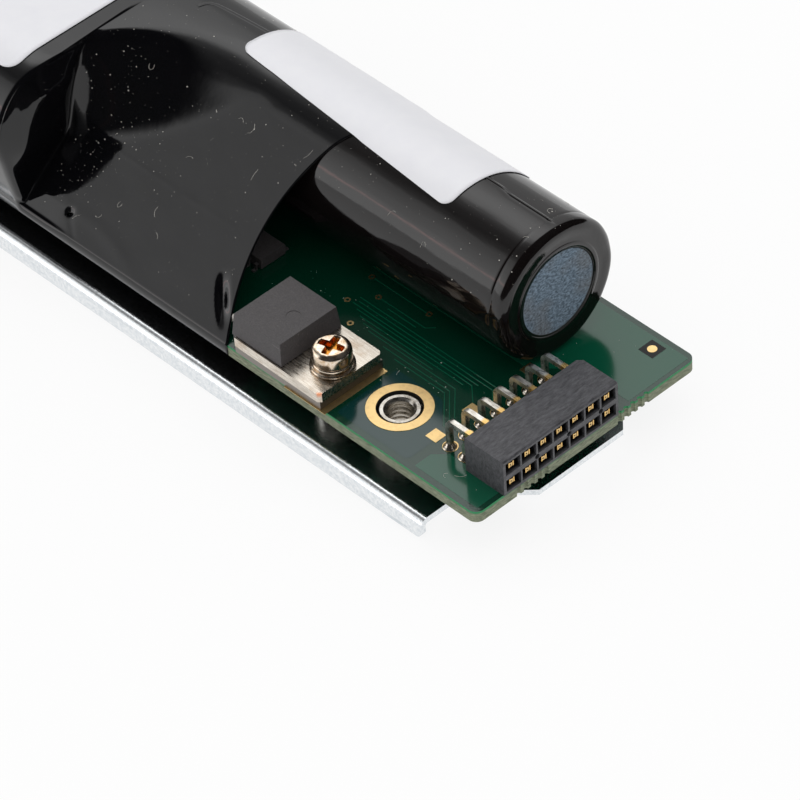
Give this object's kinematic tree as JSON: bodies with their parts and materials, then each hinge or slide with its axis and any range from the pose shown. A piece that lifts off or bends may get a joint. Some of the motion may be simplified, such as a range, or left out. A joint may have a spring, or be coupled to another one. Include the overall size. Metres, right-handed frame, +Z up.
{
  "type": "raid battery module",
  "caption": "Cylindrical cells in glossy shrink film on a circuit board and folded metal tray, with a two-row socket and a screw-down power resistor at the open end.",
  "frame": {"origin": "middle of the tray, at the underside of its flanges", "axes": "+X along the cells to the socket's face, +Y to the edge with the long row of cells, +Z up from the tray"},
  "size_m": [0.146, 0.0396, 0.0261],
  "materials": {
    "zinc_steel": "zinc-plated sheet, bright and scuffed",
    "turned_steel": "nickel-plated turned steel",
    "nickel_plate": "satin nickel plate",
    "foam": "closed-cell adhesive foam",
    "fibreglass_board": "green solder mask over woven fibreglass",
    "gold_plate": "thin gold plate, satin",
    "black_nylon": "moulded, fine grain",
    "black_epoxy": "moulded epoxy, fine grain",
    "grey_aluminium": "sawn and tumbled plate",
    "plated_screw_steel": "zinc-plated, slightly yellow",
    "ceramic_body": "fired ceramic",
    "tape": "clear amber adhesive tape",
    "can_steel": "nickel-plated deep-drawn steel",
    "sleeve_film": "shrunk sleeve, glossy",
    "fibre_sheet": "pressed fibre sheet, matt and flecked",
    "shrink_film": "heat-shrunk film, glossy with fine creases",
    "label_stock": "coated label, satin"
  },
  "bodies": {
    "root": {"tray": "zinc_steel", "locating_standoff": "turned_steel", "resistor_standoff": "turned_steel", "foam_pads": "foam", "circuit_board": "fibreglass_board", "plated_pads": "gold_plate", "connector_housing": "black_nylon", "upper_contacts": "gold_plate", "lower_contacts": "gold_plate", "resistor_body": "black_epoxy", "resistor_tab": "nickel_plate", "resistor_leads": "nickel_plate", "heat_plate": "grey_aluminium", "resistor_screw": "plated_screw_steel", "spring_washer": "plated_screw_steel", "flat_washer": "plated_screw_steel", "gauge_chip": "black_epoxy", "switch_transistors": "black_epoxy", "cell_fuse": "ceramic_body", "board_capacitors": "ceramic_body", "thermistor": "black_epoxy", "cell_tape": "tape", "near_cell": "can_steel", "far_cell": "can_steel", "front_cell": "can_steel", "near_sleeve": "sleeve_film", "far_sleeve": "sleeve_film", "front_sleeve": "sleeve_film", "end_disc": "fibre_sheet", "near_strip": "nickel_plate", "middle_strip": "nickel_plate", "far_strip": "nickel_plate", "end_paper": "fibre_sheet", "outer_film": "shrink_film", "long_label": "label_stock", "wide_label": "label_stock"}
  },
  "joints": []
}
